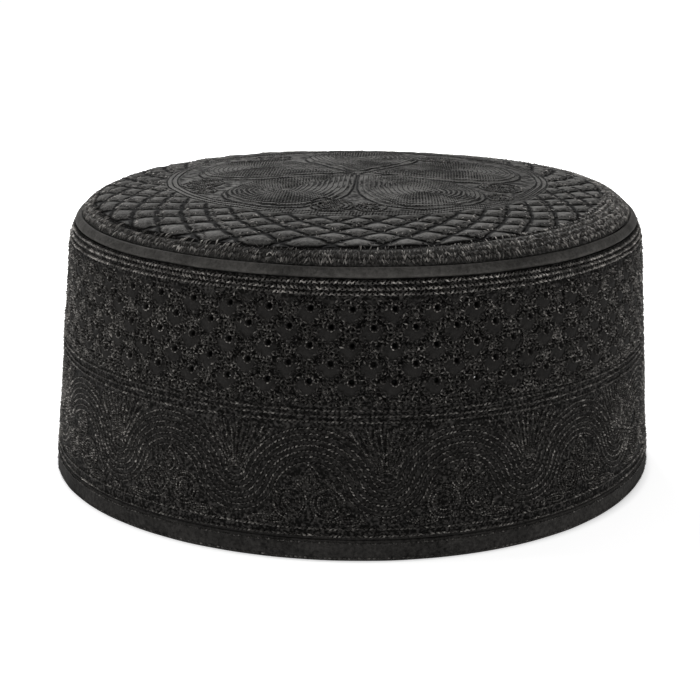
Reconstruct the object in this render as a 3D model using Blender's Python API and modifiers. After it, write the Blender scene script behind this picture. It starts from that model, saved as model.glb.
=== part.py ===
"""A stiff prayer cap: a domed crown disc, a plain strip round the shoulder, a tall flared side pierced with
eyelets, and a hem at the rim. It stands on its rim, +Z up, with the front towards -Y, in metres."""
import math

import bmesh
import bpy
from mathutils import Matrix, Vector

# Sizes of the cap as a whole. Radii are the mean of a plan that is not quite round.
HEIGHT = 0.0881
RIM_RADIUS = 0.093
SHOULDER_RADIUS = 0.0874
SHOULDER_ROUNDING = 0.0159
DOME_RISE = 0.0044
DOME_POWER = 2.4
CROWN_LEAN = 0.0008
WALL_THICKNESS = 0.002
SEAM_GAP = 0.0003

# The plain strip on the shoulder: where on the rounding it starts, its width along the cloth, and how proud it is.
STRIP_START_ANGLE = math.radians(28.5)
STRIP_WIDTH = 0.0031
STRIP_THICKNESS = 0.0026
STRIP_PROUD = 0.0006

# The hem at the rim.
HEM_HEIGHT = 0.0063
HEM_THICKNESS = 0.0024
HEM_OUTER_ROUNDING = 0.001
HEM_INNER_ROUNDING = 0.0003

# The eyelets. Every second one is cut, on the lattice's diagonals, which keeps the field at 125 holes.
EYELET_COLUMNS = 50
EYELET_ROWS = 5
EYELET_ROW_SPACING = 0.00483
EYELET_DIAMETER = 0.0018
EYELET_SIDES = 6
EYELET_TURN = math.radians(-0.6)

# How the plan departs from a circle: each row adds a wave round the plan.
OUT_OF_ROUND = (
    # waves, share of the radius, crest in degrees from +X
    (2, 0.005, 45),
    (3, 0.007, 30),
    (4, 0.005, 29),
)

FRONT = math.radians(-90)
FACETS = 2 * EYELET_COLUMNS
FACET_ANGLE = math.tau / FACETS
SHOULDER_STEP = math.radians(11)
DOME_SHARES = (0.86, 0.6, 0.3)
STRIP_CREST_SHARES = (0.28, 0.72)
MERGE_DISTANCE = 0.00001


def crown_edge():
    """Where the dome leaves the shoulder's rounding with one slope: the angle on the rounding, and the radius."""
    slope = 0.0
    for _ in range(20):
        radius = SHOULDER_RADIUS - SHOULDER_ROUNDING * (1 - math.sin(slope))
        slope = math.atan(DOME_RISE * DOME_POWER / radius)
    return math.radians(90) - slope, radius


CROWN_EDGE_ANGLE, CROWN_EDGE_RADIUS = crown_edge()
SHOULDER_HEIGHT = HEIGHT - DOME_RISE - SHOULDER_ROUNDING * math.sin(CROWN_EDGE_ANGLE)
STRIP_END_ANGLE = STRIP_START_ANGLE + STRIP_WIDTH / SHOULDER_ROUNDING
HALF_GAP_ANGLE = SEAM_GAP / SHOULDER_ROUNDING / 2


def wall_point(height):
    """Outer surface of the flared wall, as (radius, height)."""
    share = height / SHOULDER_HEIGHT
    return Vector((RIM_RADIUS + (SHOULDER_RADIUS - RIM_RADIUS) * share, height))


def shoulder_point(angle, outward=0.0):
    """Outer surface of the shoulder's rounding, at an angle above the horizontal."""
    reach = SHOULDER_ROUNDING + outward
    centre = SHOULDER_RADIUS - SHOULDER_ROUNDING
    return Vector((centre + reach * math.cos(angle), SHOULDER_HEIGHT + reach * math.sin(angle)))


def crown_point(share):
    """Outer surface of the dome, at a share of the crown edge's radius."""
    rise = DOME_RISE * (1 - share ** DOME_POWER)
    return Vector((CROWN_EDGE_RADIUS * share, HEIGHT - DOME_RISE + rise))


def steps(start, end, largest):
    """Evenly spaced values from start to end, both included, no further apart than the largest step."""
    count = max(1, math.ceil(abs(end - start) / largest - 1e-6))
    return [start + (end - start) * i / count for i in range(count + 1)]


def inner_run(outer, thickness):
    """The outer run's points, each moved square to the run by the wall's thickness, in reverse order."""
    points = []
    for i, point in enumerate(outer):
        before = outer[max(i - 1, 0)]
        after = outer[min(i + 1, len(outer) - 1)]
        along = (after - before).normalized()
        points.append(point + Vector((along.y, -along.x)) * thickness)
    return points[::-1]


def plan_factor(angle):
    """The plan's radius at an angle, as a share of its mean radius."""
    return 1 + sum(share * math.cos(waves * (angle - math.radians(crest))) for waves, share, crest in OUT_OF_ROUND)


def facet_corner(index):
    """The angle of a facet's edge. Eyelets of alternate rows stand in the middle of alternate facets."""
    return FRONT + EYELET_TURN + (index - 0.5) * FACET_ANGLE


def rim_centre():
    """The middle of the rim's box, which goes to the origin."""
    widest = wall_point(HEM_OUTER_ROUNDING).x
    angles = [facet_corner(index) for index in range(FACETS)]
    xs = [widest * plan_factor(angle) * math.cos(angle) for angle in angles]
    ys = [widest * plan_factor(angle) * math.sin(angle) for angle in angles]
    return Vector((min(xs) + max(xs), min(ys) + max(ys))) / 2


PLAN_SHIFT = rim_centre()


def shaped(point):
    """A point of the round cap, moved to the cap's own plan and lean."""
    angle = math.atan2(point.y, point.x)
    factor = plan_factor(angle)
    lean = CROWN_LEAN * point.z / HEIGHT
    return Vector((point.x * factor + lean - PLAN_SHIFT.x, point.y * factor - PLAN_SHIFT.y, point.z))


def new_collection(name):
    collection = bpy.data.collections.new(name)
    bpy.context.scene.collection.children.link(collection)
    return collection


def cloth(name, colour, roughness):
    material = bpy.data.materials.new(name)
    material.use_nodes = True
    shader = material.node_tree.nodes["Principled BSDF"]
    shader.inputs["Base Color"].default_value = (*colour, 1)
    shader.inputs["Roughness"].default_value = roughness
    shader.inputs["Metallic"].default_value = 0
    return material


def turned_shell(name, profile, closed, material):
    """A profile in the XZ plane, turned round Z and then brought to the cap's own plan."""
    mesh = bpy.data.meshes.new(name)
    edges = [(i, i + 1) for i in range(len(profile) - 1)]
    if closed:
        edges.append((len(profile) - 1, 0))
    mesh.from_pydata([(point.x, 0, point.y) for point in profile], edges, [])
    piece = bpy.data.objects.new(name, mesh)
    parts.objects.link(piece)

    screw = piece.modifiers.new("turned", "SCREW")
    screw.axis = "Z"
    screw.angle = math.tau
    screw.steps = FACETS
    screw.render_steps = FACETS
    screw.use_merge_vertices = True
    screw.merge_threshold = MERGE_DISTANCE
    seen = piece.evaluated_get(bpy.context.evaluated_depsgraph_get())
    turned = bpy.data.meshes.new_from_object(seen)
    piece.modifiers.clear()
    piece.data = turned
    turned.name = name
    bpy.data.meshes.remove(mesh)

    work = bmesh.new()
    work.from_mesh(turned)
    bmesh.ops.remove_doubles(work, verts=work.verts, dist=MERGE_DISTANCE)
    bmesh.ops.rotate(work, verts=work.verts, matrix=Matrix.Rotation(facet_corner(0), 3, "Z"))
    for vertex in work.verts:
        vertex.co = shaped(vertex.co)
    bmesh.ops.recalc_face_normals(work, faces=work.faces)
    work.to_mesh(turned)
    work.free()
    turned.materials.append(material)
    turned.shade_smooth()
    turned.set_sharp_from_angle(angle=math.radians(35))
    return piece


def hem_profile():
    """Down the outside, round the outer edge, across the flat that the cap stands on, and up the inside."""
    top = wall_point(HEM_HEIGHT - SEAM_GAP)
    bottom = wall_point(0)
    rounding = HEM_OUTER_ROUNDING
    centre = Vector((bottom.x - rounding, rounding))
    outer = [top, wall_point(rounding)]
    for angle in steps(0, math.radians(90), math.radians(45))[1:]:
        outer.append(centre + Vector((math.cos(angle), -math.sin(angle))) * rounding)
    inner_radius = bottom.x - HEM_THICKNESS
    inner = [Vector((inner_radius + HEM_INNER_ROUNDING, 0)), Vector((inner_radius, HEM_INNER_ROUNDING))]
    return outer + inner + [Vector((top.x - HEM_THICKNESS, top.y))]


def side_profile():
    """Up the flared wall and on to the strip, and back inside the cloth."""
    outer = [wall_point(HEM_HEIGHT), wall_point(SHOULDER_HEIGHT)]
    for angle in steps(0, STRIP_START_ANGLE - HALF_GAP_ANGLE, SHOULDER_STEP)[1:]:
        outer.append(shoulder_point(angle))
    outer.reverse()
    return outer + inner_run(outer, WALL_THICKNESS)


def strip_profile():
    """A folded strip with a soft bulge: its edges lie level with the cloth on both sides."""
    start = STRIP_START_ANGLE + HALF_GAP_ANGLE
    end = STRIP_END_ANGLE - HALF_GAP_ANGLE
    outer = [shoulder_point(end)]
    for share in STRIP_CREST_SHARES:
        outer.append(shoulder_point(end + (start - end) * share, STRIP_PROUD))
    outer.append(shoulder_point(start))
    return outer + [shoulder_point(start, -STRIP_THICKNESS), shoulder_point(end, -STRIP_THICKNESS)]


def crown_profile():
    """From the middle of the dome out and down to the strip, and back inside the cloth to the middle."""
    outer = [crown_point(0)] + [crown_point(share) for share in reversed(DOME_SHARES)]
    for angle in steps(CROWN_EDGE_ANGLE, STRIP_END_ANGLE + HALF_GAP_ANGLE, SHOULDER_STEP):
        outer.append(shoulder_point(angle))
    inner = inner_run(outer, WALL_THICKNESS)
    inner[-1].x = 0
    return outer + inner


def eyelet_cutter():
    """Short prisms through the wall, one in the middle of a facet, in rows that step half a column."""
    work = bmesh.new()
    for row in range(EYELET_ROWS):
        height = SHOULDER_HEIGHT - row * EYELET_ROW_SPACING
        for column in range(0, FACETS, 4):
            angle = FRONT + EYELET_TURN + (column + row) * FACET_ANGLE
            outward = Vector((math.cos(angle), math.sin(angle), 0))
            middle = shaped(outward * (wall_point(height).x - WALL_THICKNESS / 2) + Vector((0, 0, height)))
            turn = outward.to_track_quat("Z", "Y").to_matrix().to_4x4()
            bmesh.ops.create_cone(
                work, cap_ends=True, segments=EYELET_SIDES, radius1=EYELET_DIAMETER / 2,
                radius2=EYELET_DIAMETER / 2, depth=WALL_THICKNESS * 4, matrix=Matrix.Translation(middle) @ turn)
    mesh = bpy.data.meshes.new("eyelet_cutter")
    work.to_mesh(mesh)
    work.free()
    cutter = bpy.data.objects.new("eyelet_cutter", mesh)
    cutters.objects.link(cutter)
    cutter.hide_render = True
    cutter.display_type = "WIRE"
    return cutter


for thing in list(bpy.data.objects):
    bpy.data.objects.remove(thing)

parts = new_collection("prayer_cap")
cutters = new_collection("prayer_cap_cutters")

black_cloth = cloth("black_cloth", (0.016, 0.0152, 0.0142), 0.86)
strip_cloth = cloth("strip_cloth", (0.022, 0.0205, 0.019), 0.7)
crown_cloth = cloth("crown_cloth", (0.018, 0.0172, 0.0162), 0.82)
hem_cloth = cloth("hem_cloth", (0.014, 0.0132, 0.0124), 0.9)

top_disc = turned_shell("top_disc", crown_profile(), False, crown_cloth)
shoulder_strip = turned_shell("shoulder_strip", strip_profile(), True, strip_cloth)
hem_band = turned_shell("hem_band", hem_profile(), True, hem_cloth)
side_band = turned_shell("side_band", side_profile(), True, black_cloth)

pierce = side_band.modifiers.new("eyelets", "BOOLEAN")
pierce.operation = "DIFFERENCE"
pierce.solver = "EXACT"
pierce.object = eyelet_cutter()
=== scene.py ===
"""A black machine-embroidered prayer cap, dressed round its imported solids, in soft studio light.

A place on the cloth is a polar angle in degrees and a length in mm up from the rim, along the cloth.
"""
import math
import bpy
import numpy as np
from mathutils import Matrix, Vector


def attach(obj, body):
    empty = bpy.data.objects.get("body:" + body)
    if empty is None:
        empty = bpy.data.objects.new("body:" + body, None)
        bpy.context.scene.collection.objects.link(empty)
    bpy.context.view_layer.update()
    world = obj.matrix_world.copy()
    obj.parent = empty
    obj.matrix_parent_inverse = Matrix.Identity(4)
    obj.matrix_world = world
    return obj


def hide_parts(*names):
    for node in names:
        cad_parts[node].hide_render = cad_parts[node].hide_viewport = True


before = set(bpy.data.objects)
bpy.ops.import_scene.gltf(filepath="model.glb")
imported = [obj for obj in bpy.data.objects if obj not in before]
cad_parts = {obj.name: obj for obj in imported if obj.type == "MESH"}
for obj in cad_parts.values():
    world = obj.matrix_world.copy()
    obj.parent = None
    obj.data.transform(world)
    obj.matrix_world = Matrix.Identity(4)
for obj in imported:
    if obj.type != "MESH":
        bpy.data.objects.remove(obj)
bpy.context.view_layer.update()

# Side cloth. The tall flared wall is one band of stiffened black cotton, seamed at the back, that curves in
# over the shoulder. Its upper half is quilted into small puffs, each pierced with an eyelet by a hot punch,
# and its lower half is drawn into low ridges by the waves that are sewn on it.
MM = 0.001
HEIGHT = 88.1
RIM_RADIUS = 93.0
SHOULDER_RADIUS = 87.4
SHOULDER_ROUNDING = 15.9
SHOULDER_HEIGHT = 67.96
CROWN_EDGE_ANGLE = 81.85
DOME_RISE = 4.4
DOME_POWER = 2.4
CROWN_LEAN = 0.8
PLAN_SHIFT = (0.04, -0.65)
OUT_OF_ROUND = ((2, 0.005, 45), (3, 0.007, 30), (4, 0.005, 29))
FRONT = -90.0
TURN = 360.0

WALL_THICKNESS = 1.9
GIRTH_RADIUS = 88.0
SIDE_START = 6.16
SIDE_COLUMNS = 600
SIDE_ROWS = 72
EYELET_TURN = -0.6
EYELET_COLUMNS = 50
EYELET_ROWS = 5
EYELET_PITCH = TURN / EYELET_COLUMNS
EYELET_ROW_SPACING = 4.846
EYELET_RADIUS = 0.92
COLUMNS_PER_EYELET = SIDE_COLUMNS // EYELET_COLUMNS
ROWS_PER_EYELET = 5
FIRST_EYELET_ROW = 44
ROW_SPACING = EYELET_ROW_SPACING / ROWS_PER_EYELET
LOWEST_EYELET = SIDE_START + FIRST_EYELET_ROW * ROW_SPACING
CELL_DROP = 1.5
CELL_TURN = -0.4
COLUMN_WIDTH = math.radians(TURN / SIDE_COLUMNS) * GIRTH_RADIUS
EYELET_RINGS = (
    # ring of the grid round an eyelet's middle, its radius and its rise
    (1, EYELET_RADIUS, 0.12), (2, 1.85, 0.0))
NO_RING = 9
PUFF = 0.7
PUFF_SINK = 0.3
SIDE_WANDER = 0.16
SIDE_SINK = 0.1

# Edges on the side, as pairs of lengths between which each one fades.
COVER_START = (6.2, 7.0)
WANDER_START = (6.0, 14.0)
WAVES_START = (9.5, 12.0)
WAVES_END = (35.5, 37.5)
WAVE_COVER_START = (10.0, 11.0)
LATTICE_START = (41.5, 42.5)
PUFFS_START = (41.5, 44.0)
PUFFS_END = (70.5, 72.3)
PLAIN_CELLS_START = (44.4, 45.4)
PLAIN_CELLS_END = (69.5, 71.0)


def outline_of_half_the_cap():
    """The outside from the rim to the middle of the top, as a line of radius and height, in mm."""
    wall_share = np.linspace(0, 1, 160)
    wall_radius = RIM_RADIUS + (SHOULDER_RADIUS - RIM_RADIUS) * wall_share
    wall = np.column_stack([wall_radius, SHOULDER_HEIGHT * wall_share])
    angle = np.radians(np.linspace(0, CROWN_EDGE_ANGLE, 90))
    centre = SHOULDER_RADIUS - SHOULDER_ROUNDING
    shoulder_radius = centre + SHOULDER_ROUNDING * np.cos(angle)
    shoulder = np.column_stack([shoulder_radius, SHOULDER_HEIGHT + SHOULDER_ROUNDING * np.sin(angle)])
    dome_share = np.linspace(1, 0, 300)
    dome_height = HEIGHT - DOME_RISE * dome_share ** DOME_POWER
    dome = np.column_stack([shoulder[-1, 0] * dome_share, dome_height])
    return np.vstack([wall, shoulder[1:], dome[1:]])


OUTLINE = outline_of_half_the_cap()
LENGTHS = np.concatenate([[0], np.cumsum(np.hypot(*np.diff(OUTLINE, axis=0).T))])
TANGENTS = np.gradient(OUTLINE, LENGTHS, axis=0)
CROWN_MIDDLE = LENGTHS[-1]


def outward(polar, along):
    """Unit vectors square to the cloth."""
    turn = np.radians(polar)
    radial = np.interp(along, LENGTHS, TANGENTS[:, 1])
    upward = -np.interp(along, LENGTHS, TANGENTS[:, 0])
    return np.stack([radial * np.cos(turn), radial * np.sin(turn), upward + 0 * turn], -1)


def on_cap(polar, along, lift):
    """Points in metres that stand off the cloth's outside by a lift in mm."""
    turn = np.radians(polar)
    radius = np.interp(along, LENGTHS, OUTLINE[:, 0])
    height = np.interp(along, LENGTHS, OUTLINE[:, 1])
    factor = 1.0
    for waves, share, crest in OUT_OF_ROUND:
        factor = factor + share * np.cos(waves * (turn - math.radians(crest)))
    x = radius * factor * np.cos(turn) + CROWN_LEAN * height / HEIGHT - PLAN_SHIFT[0]
    y = radius * factor * np.sin(turn) - PLAN_SHIFT[1]
    points = np.stack([x, y, height + 0 * turn], -1)
    return (points + outward(polar, along) * np.asarray(lift)[..., None]) * MM


def smooth(value, low, high):
    """From 0 at low to 1 at high, with soft ends."""
    share = np.clip((value - low) / (high - low), 0, 1)
    return share * share * (3 - 2 * share)


def faded(along, start, end):
    """1 between two edges and 0 outside them."""
    return smooth(along, *start) * (1 - smooth(along, *end))


def unevenness(polar, along, seed, scale):
    """Slow wander between -1 and 1, the same in every run, as hand-guided cloth has."""
    turn = np.radians(polar)
    total = 0.0
    for step in range(1, 5):
        waves = round(scale * step * 1.7)
        drift = along / (9.0 / step) * (1 if step % 2 else -1)
        total = total + np.sin(waves * turn + seed * step * 2.3 + drift)
    return total / 4


# The wave on the lower half: arcs over and under, joined at one slope, a whole number of them round the cap.
WAVE_COUNT = 14
WAVE_RADIUS = 90.4
WAVE_LENGTH = math.tau * WAVE_RADIUS / WAVE_COUNT
WAVE_TURN = -7.4
CREST_CENTRE = 17.3
TROUGH_CENTRE = 24.0
CREST_ARC = 14.25
WAVE_TILT = math.atan2(TROUGH_CENTRE - CREST_CENTRE, WAVE_LENGTH / 2)
TROUGH_ARC = math.hypot(TROUGH_CENTRE - CREST_CENTRE, WAVE_LENGTH / 2) - CREST_ARC
WAVE_LINE_SPACING = 1.55
WAVE_LINES = tuple(WAVE_LINE_SPACING * (index - 3) for index in range(7))
RIDGE = 0.24
RIDGES_END = (5.0, 7.0)
WAVE_COVER_END = (5.0, 6.2)


def across_wave(polar, along):
    """Distance out from the wave's middle line, positive over the crests."""
    chart = np.radians(polar - FRONT - WAVE_TURN) * WAVE_RADIUS
    folded = np.abs((chart + WAVE_LENGTH / 2) % WAVE_LENGTH - WAVE_LENGTH / 2)
    over = np.hypot(folded, along - CREST_CENTRE) - CREST_ARC
    under = TROUGH_ARC - np.hypot(folded - WAVE_LENGTH / 2, along - TROUGH_CENTRE)
    return np.where(along - CREST_CENTRE > folded * math.tan(WAVE_TILT), over, under)


def lattice_cell(column, row):
    """From 0 on crossing diagonals to 1 in the middle of each cell between them."""
    return np.abs(np.cos(math.pi * (column + row) / 2) * np.cos(math.pi * (column - row) / 2))


def side_cell(polar, along):
    """The same for the lattice on the side, whose cells hang a little lower than their eyelets."""
    column = (polar - FRONT - EYELET_TURN - CELL_TURN) / (EYELET_PITCH / 2)
    row = (along - LOWEST_EYELET + CELL_DROP) / EYELET_ROW_SPACING
    return lattice_cell(column, row)


def side_covered(polar, along):
    """1 where embroidery hides the cloth of the side, 0 on the plain cells and at the foot."""
    in_lattice = smooth(along, *LATTICE_START)
    in_cell = smooth(side_cell(polar, along), 0.42, 0.58)
    plain_cell = faded(along, PLAIN_CELLS_START, PLAIN_CELLS_END) * in_cell
    near_wave = 1 - smooth(np.abs(across_wave(polar, along)), *WAVE_COVER_END)
    on_lines = near_wave * smooth(along, *WAVE_COVER_START) * (1 - in_lattice)
    return smooth(along, *COVER_START) * (1 - plain_cell) * (1 - 0.35 * on_lines)


def side_relief(polar, along):
    """How far the cloth swells between its stitches, in mm."""
    lattice = faded(along, PUFFS_START, PUFFS_END) * (PUFF * side_cell(polar, along) - PUFF_SINK)
    offset = across_wave(polar, along)
    waved = faded(along, WAVES_START, WAVES_END) * (1 - smooth(np.abs(offset), *RIDGES_END))
    ridges = waved * RIDGE * -np.cos(math.tau * offset / WAVE_LINE_SPACING)
    wander = SIDE_WANDER * unevenness(polar, along, seed=1.0, scale=5) * smooth(along, *WANDER_START)
    return lattice + ridges + wander - SIDE_SINK


def flat_sheet(name, columns, rows):
    """A grid of cloth before it is wrapped: returns it with each vertex's column and row."""
    bpy.ops.object.select_all(action="DESELECT")
    bpy.ops.mesh.primitive_grid_add(x_subdivisions=columns, y_subdivisions=rows, size=2)
    sheet = bpy.context.object
    sheet.name = name
    sheet.data.name = name
    flat = np.empty(len(sheet.data.vertices) * 3)
    sheet.data.vertices.foreach_get("co", flat)
    flat = flat.reshape(-1, 3)
    column = np.rint((flat[:, 0] + 1) / 2 * columns)
    row = np.rint((flat[:, 1] + 1) / 2 * rows)
    return sheet, column, row


def wrap(sheet, points):
    """Moves the grid's vertices to their places on the cap."""
    sheet.data.vertices.foreach_set("co", points.ravel())
    sheet.data.update()


def sew_shut(sheet):
    """Joins the edges that meet, and turns every face outwards."""
    bpy.ops.object.select_all(action="DESELECT")
    sheet.select_set(True)
    bpy.context.view_layer.objects.active = sheet
    bpy.ops.object.mode_set(mode="EDIT")
    bpy.ops.mesh.select_all(action="SELECT")
    bpy.ops.mesh.remove_doubles(threshold=0.000002)
    bpy.ops.mesh.normals_make_consistent(inside=False)
    bpy.ops.object.mode_set(mode="OBJECT")
    bpy.ops.object.shade_smooth()


def keep_values(sheet, name, values):
    """Keeps a number for each vertex on the mesh, for its material to read."""
    attribute = sheet.data.attributes.new(name, "FLOAT", "POINT")
    attribute.data.foreach_set("value", values.astype(np.float32))


side_cloth, column, row = flat_sheet("side_cloth", SIDE_COLUMNS, SIDE_ROWS)
side_polar = FRONT + EYELET_TURN - TURN / 2 + column * TURN / SIDE_COLUMNS
side_along = SIDE_START + row * ROW_SPACING
side_lift = side_relief(side_polar, side_along)

eyelet_row = np.rint((row - FIRST_EYELET_ROW) / ROWS_PER_EYELET)
eyelet_up = row - FIRST_EYELET_ROW - eyelet_row * ROWS_PER_EYELET
half_columns = COLUMNS_PER_EYELET // 2
eyelet_shift = column - half_columns * (eyelet_row % 2)
eyelet_across = (eyelet_shift + half_columns) % COLUMNS_PER_EYELET - half_columns
in_field = (eyelet_row >= 0) & (eyelet_row < EYELET_ROWS)
eyelet_ring = np.where(in_field, np.maximum(np.abs(eyelet_across), np.abs(eyelet_up)), NO_RING)
ring_angle = np.arctan2(eyelet_up * ROW_SPACING, eyelet_across * COLUMN_WIDTH)
wobble = 1 + 0.1 * np.sin(ring_angle * 2 + side_polar * 7)
for ring, radius, rise in EYELET_RINGS:
    here = eyelet_ring == ring
    across = radius * wobble * np.cos(ring_angle) - eyelet_across * COLUMN_WIDTH
    up = radius * wobble * np.sin(ring_angle) - eyelet_up * ROW_SPACING
    side_polar[here] += np.degrees(across[here] / GIRTH_RADIUS)
    side_along[here] += up[here]
    side_lift[here] += rise
wrap(side_cloth, on_cap(side_polar, side_along, side_lift))
keep_values(side_cloth, "across_wave", across_wave(side_polar, side_along))
keep_values(side_cloth, "along", side_along)
keep_values(side_cloth, "covered", side_covered(side_polar, side_along))

side_cloth.data.vertices.foreach_set("select", eyelet_ring == 0)
side_cloth.data.edges.foreach_set("select", np.zeros(len(side_cloth.data.edges), bool))
side_cloth.data.polygons.foreach_set("select", np.zeros(len(side_cloth.data.polygons), bool))
bpy.context.tool_settings.mesh_select_mode = (True, False, False)
bpy.ops.object.mode_set(mode="EDIT")
bpy.ops.mesh.delete(type="VERT")
bpy.ops.object.mode_set(mode="OBJECT")
sew_shut(side_cloth)
wall = side_cloth.modifiers.new("wall", "SOLIDIFY")
wall.thickness = WALL_THICKNESS * MM
wall.offset = -1
wall.use_even_offset = False
bpy.ops.object.modifier_apply(modifier="wall")
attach(side_cloth, "root")
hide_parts("side_band")


class Wire:
    """A node's output that can stand in a sum: each operator adds the Math node that works it out."""

    def __init__(self, finish, socket):
        self.finish = finish
        self.socket = socket

    def maths(self, operation, first, second):
        return self.finish.node("ShaderNodeMath", {"operation": operation}, {0: first, 1: second})

    def __add__(self, other):
        return self.maths("ADD", self, other)

    def __sub__(self, other):
        return self.maths("SUBTRACT", self, other)

    def __rsub__(self, other):
        return self.maths("SUBTRACT", other, self)

    def __mul__(self, other):
        return self.maths("MULTIPLY", self, other)

    def absolute(self):
        return self.maths("ABSOLUTE", self, 0.0)

    def cosine(self):
        return self.maths("COSINE", self, 0.0)

    def lesser(self, other):
        return self.maths("MINIMUM", self, other)

    __radd__ = __add__
    __rmul__ = __mul__


class Finish:
    """A material in the making, on one Principled shader."""

    def __init__(self, name):
        self.material = bpy.data.materials.new(name)
        self.material.use_nodes = True
        self.tree = self.material.node_tree
        self.shader = self.tree.nodes["Principled BSDF"]

    def node(self, kind, settings, inputs, output=0):
        made = self.tree.nodes.new(kind)
        for name, value in settings.items():
            setattr(made, name, value)
        for name, value in inputs.items():
            self.feed(made.inputs[name], value)
        return Wire(self, made.outputs[output])

    def feed(self, socket, value):
        if isinstance(value, Wire):
            self.tree.links.new(value.socket, socket)
        else:
            socket.default_value = value

    def set(self, **inputs):
        for name, value in inputs.items():
            self.feed(self.shader.inputs[name.replace("_", " ")], value)

    def place(self):
        return self.node("ShaderNodeTexCoord", {}, {}, "Object")

    def noise(self, place, scale, detail, roughness):
        inputs = {"Vector": place, "Scale": scale, "Detail": detail, "Roughness": roughness}
        return self.node("ShaderNodeTexNoise", {"noise_dimensions": "3D"}, inputs)

    def attribute(self, name):
        return self.node("ShaderNodeAttribute", {"attribute_name": name}, {}, "Fac")

    def between(self, factor, first, second):
        first, second = (end if isinstance(end, Wire) else (*end, 1) for end in (first, second))
        inputs = {0: factor, 6: first, 7: second}
        return self.node("ShaderNodeMix", {"data_type": "RGBA"}, inputs, 2)

    def plan(self):
        """The place in the cap's own plan in mm, without its lean."""
        apart = self.node("ShaderNodeSeparateXYZ", {}, {0: self.place()}).socket.node
        x, y, height = (Wire(self, output) for output in apart.outputs)
        upright = x - height * (CROWN_LEAN / HEIGHT)
        return upright * (1 / MM) + PLAN_SHIFT[0], y * (1 / MM) + PLAN_SHIFT[1]

    def diagonals(self, columns, turn, row):
        """Two crossing sets of lines: 0 on each line, and a rounder value that swells between them."""
        x, y = self.plan()
        polar = self.node("ShaderNodeMath", {"operation": "ARCTAN2"}, {0: y, 1: x}) - math.radians(turn)
        column = polar * (columns / math.pi) + (self.noise(self.place(), 300, 2, 0.5) - 0.5) * 0.4
        rising = ((column + row) * (math.pi / 2)).cosine().absolute()
        falling = ((column - row) * (math.pi / 2)).cosine().absolute()
        return rising.lesser(falling), rising * falling

    def distance(self, x, y, centre):
        """How far a point of the plan is from a centre."""
        across, up = x - centre[0], y - centre[1]
        return self.node("ShaderNodeMath", {"operation": "SQRT"}, {0: across * across + up * up})

    def remap(self, value, low, high, to_low, to_high):
        inputs = {"Value": value, 1: low, 2: high, 3: to_low, 4: to_high}
        return self.node("ShaderNodeMapRange", {"clamp": True}, inputs)

    def rise(self, value, low, high, top=1.0):
        """From 0 at low to the top at high."""
        return self.remap(value, low, high, 0.0, top)

    def fall(self, value, low, high, top=1.0):
        """From the top at low to 0 at high."""
        return self.remap(value, low, high, top, 0.0)

    def bump(self, height, strength, distance):
        inputs = {"Height": height, "Strength": strength, "Distance": distance}
        return self.node("ShaderNodeBump", {}, inputs)

    def wear(self, *pieces):
        for piece in pieces:
            piece.data.materials.clear()
            piece.data.materials.append(self.material)


# Fine stitches that cover the cloth are drawn as a speckle: dark specks of black thread with painted shade
# between the stitches, light specks of painted glint.
SPECKLE_THREAD_AND_SHADE = (0.005, 0.0048, 0.0045)
SPECKLE_GLINT = (0.045, 0.0428, 0.0407)
# The black that dark thread lines, dye patches and the painted shade in furrows darken the cloth towards.
MARK_AND_SHADE_BLACK = (0.0015, 0.0014, 0.0013)


def black_cotton(name, dark, light, roughness, grain, darkening, cover=None):
    """Black cotton with a fine irregular grain.

    The darkening gives dark seams, rings and dye patches, with painted shade in the furrows of the side and
    the crown, and the swelling between them; the cover says where fine stitches hide the cloth, as a painted
    speckle.
    """
    cotton = Finish(name)
    place = cotton.place()
    fibres = cotton.noise(place, 2600, 2, 0.6)
    threads = cotton.noise(place, 900, 3, 0.6)
    patches = cotton.noise(place, 35, 3, 0.5)
    shade = cotton.rise(0.3 * fibres + 0.6 * threads + 0.35 * patches, 0.45, 0.8)
    height = fibres * 0.4 + threads
    colour = cotton.between(shade, dark, light)
    if cover is not None:
        covered = cover(cotton)
        # Where stitches cover the cloth, a speckle of their painted glints and the painted shade between
        # them.
        stitches = cotton.noise(place, 1250, 1, 0.5)
        painted_speckle = cotton.between(cotton.rise(stitches, 0.46, 0.66), SPECKLE_THREAD_AND_SHADE, SPECKLE_GLINT)
        colour = cotton.between(covered, colour, painted_speckle)
        height = height + covered * stitches * 2.0
    # The darkness holds dark thread lines and dye patches, and on the side and crown painted shade in the
    # furrows.
    darkness, swelling = darkening(cotton)
    cotton.set(
        Base_Color=cotton.between(darkness, colour, MARK_AND_SHADE_BLACK),
        Roughness=cotton.remap(threads, 0.3, 0.7, roughness - 0.08, roughness + 0.08),
        Normal=cotton.bump(height + swelling, grain, 0.0004),
        Specular_IOR_Level=0.03)
    return cotton


def uneven_dye(cotton):
    """Darkness of plain cloth in soft patches."""
    return cotton.rise(cotton.noise(cotton.place(), 125, 4, 0.6), 0.42, 0.68, top=0.6)


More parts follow.
